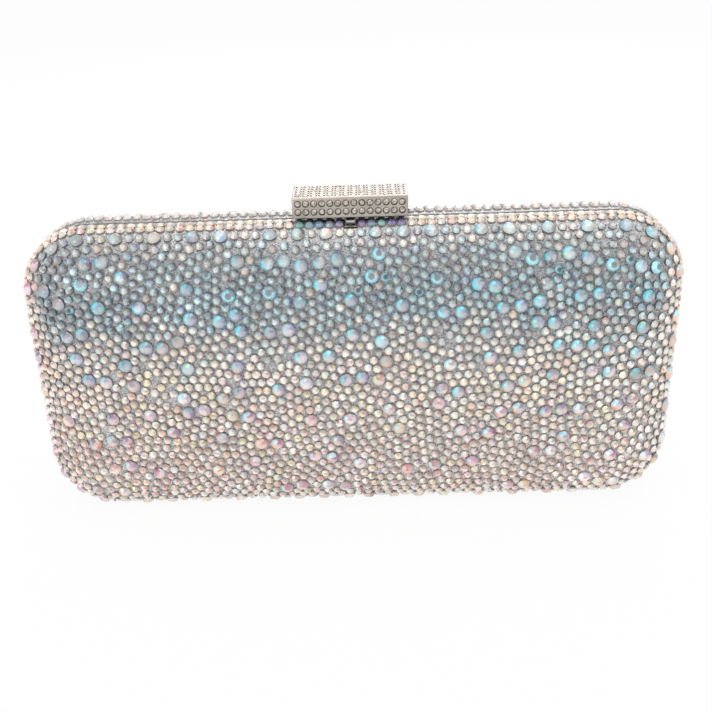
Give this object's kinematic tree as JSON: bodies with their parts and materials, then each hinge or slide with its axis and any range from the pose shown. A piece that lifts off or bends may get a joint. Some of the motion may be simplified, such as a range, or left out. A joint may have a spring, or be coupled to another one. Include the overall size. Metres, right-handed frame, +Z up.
{
  "type": "clutch bag",
  "caption": "Hard-case evening clutch of two pillow-shaped halves covered in crystals, hinged along the bottom, with a tilting bar clasp on top.",
  "frame": {"origin": "centre of the base: on the surface it stands on, midway along the bag and on the seam", "axes": "+X along the bag's length, +Y from the front half to the rear half, +Z up towards the clasp"},
  "size_m": [0.2, 0.045, 0.1027],
  "materials": {
    "crystal_cover": "clear faceted flat-back stones with a pearly film, close set on silver glitter fabric",
    "shell_plastic": "moulded, hidden between the cover and the lining",
    "lining_satin": "silver-grey satin on card",
    "frame_metal": "plated, finely brushed",
    "hinge_steel": "plated steel",
    "clasp_metal": "silver-plated casting, set with clear stones",
    "spring_steel": "bare spring steel"
  },
  "bodies": {
    "rear_half": {"rear_cover": "crystal_cover", "rear_shell": "shell_plastic", "rear_frame": "frame_metal", "rear_lining": "lining_satin", "left_hinge_rear_leaf": "hinge_steel", "left_hinge_pin": "hinge_steel", "left_hinge_rear_outer_rivet": "hinge_steel", "left_hinge_rear_inner_rivet": "hinge_steel", "right_hinge_rear_leaf": "hinge_steel", "right_hinge_pin": "hinge_steel", "right_hinge_rear_outer_rivet": "hinge_steel", "right_hinge_rear_inner_rivet": "hinge_steel", "keeper_spring": "spring_steel", "keeper_left_rivet": "hinge_steel", "keeper_right_rivet": "hinge_steel"},
    "front_half": {"front_cover": "crystal_cover", "front_shell": "shell_plastic", "front_frame": "frame_metal", "front_lining": "lining_satin", "left_hinge_front_leaf": "hinge_steel", "left_hinge_front_outer_rivet": "hinge_steel", "left_hinge_front_inner_rivet": "hinge_steel", "right_hinge_front_leaf": "hinge_steel", "right_hinge_front_outer_rivet": "hinge_steel", "right_hinge_front_inner_rivet": "hinge_steel", "clasp_bracket": "clasp_metal", "clasp_pin": "hinge_steel", "clasp_spring": "spring_steel", "bracket_rivet": "clasp_metal"},
    "clasp": {"clasp_bar": "clasp_metal", "clasp_lever": "clasp_metal", "clasp_screw": "hinge_steel"}
  },
  "joints": [
    {"name": "front_half_hinge", "type": "hinge", "parent": "rear_half", "child": "front_half", "pos_m": [0, 0, 0.0015], "axis": [1, 0, 0], "range_deg": [0, 85], "deforming": ["keeper_spring"]},
    {"name": "clasp_tilt", "type": "hinge", "parent": "front_half", "child": "clasp", "pos_m": [0, -0.004, 0.0949], "axis": [1, 0, 0], "range_deg": [0, 18], "stiffness_Nm_per_rad": 0.012, "springref_deg": -11.46, "deforming": ["clasp_spring"]}
  ]
}
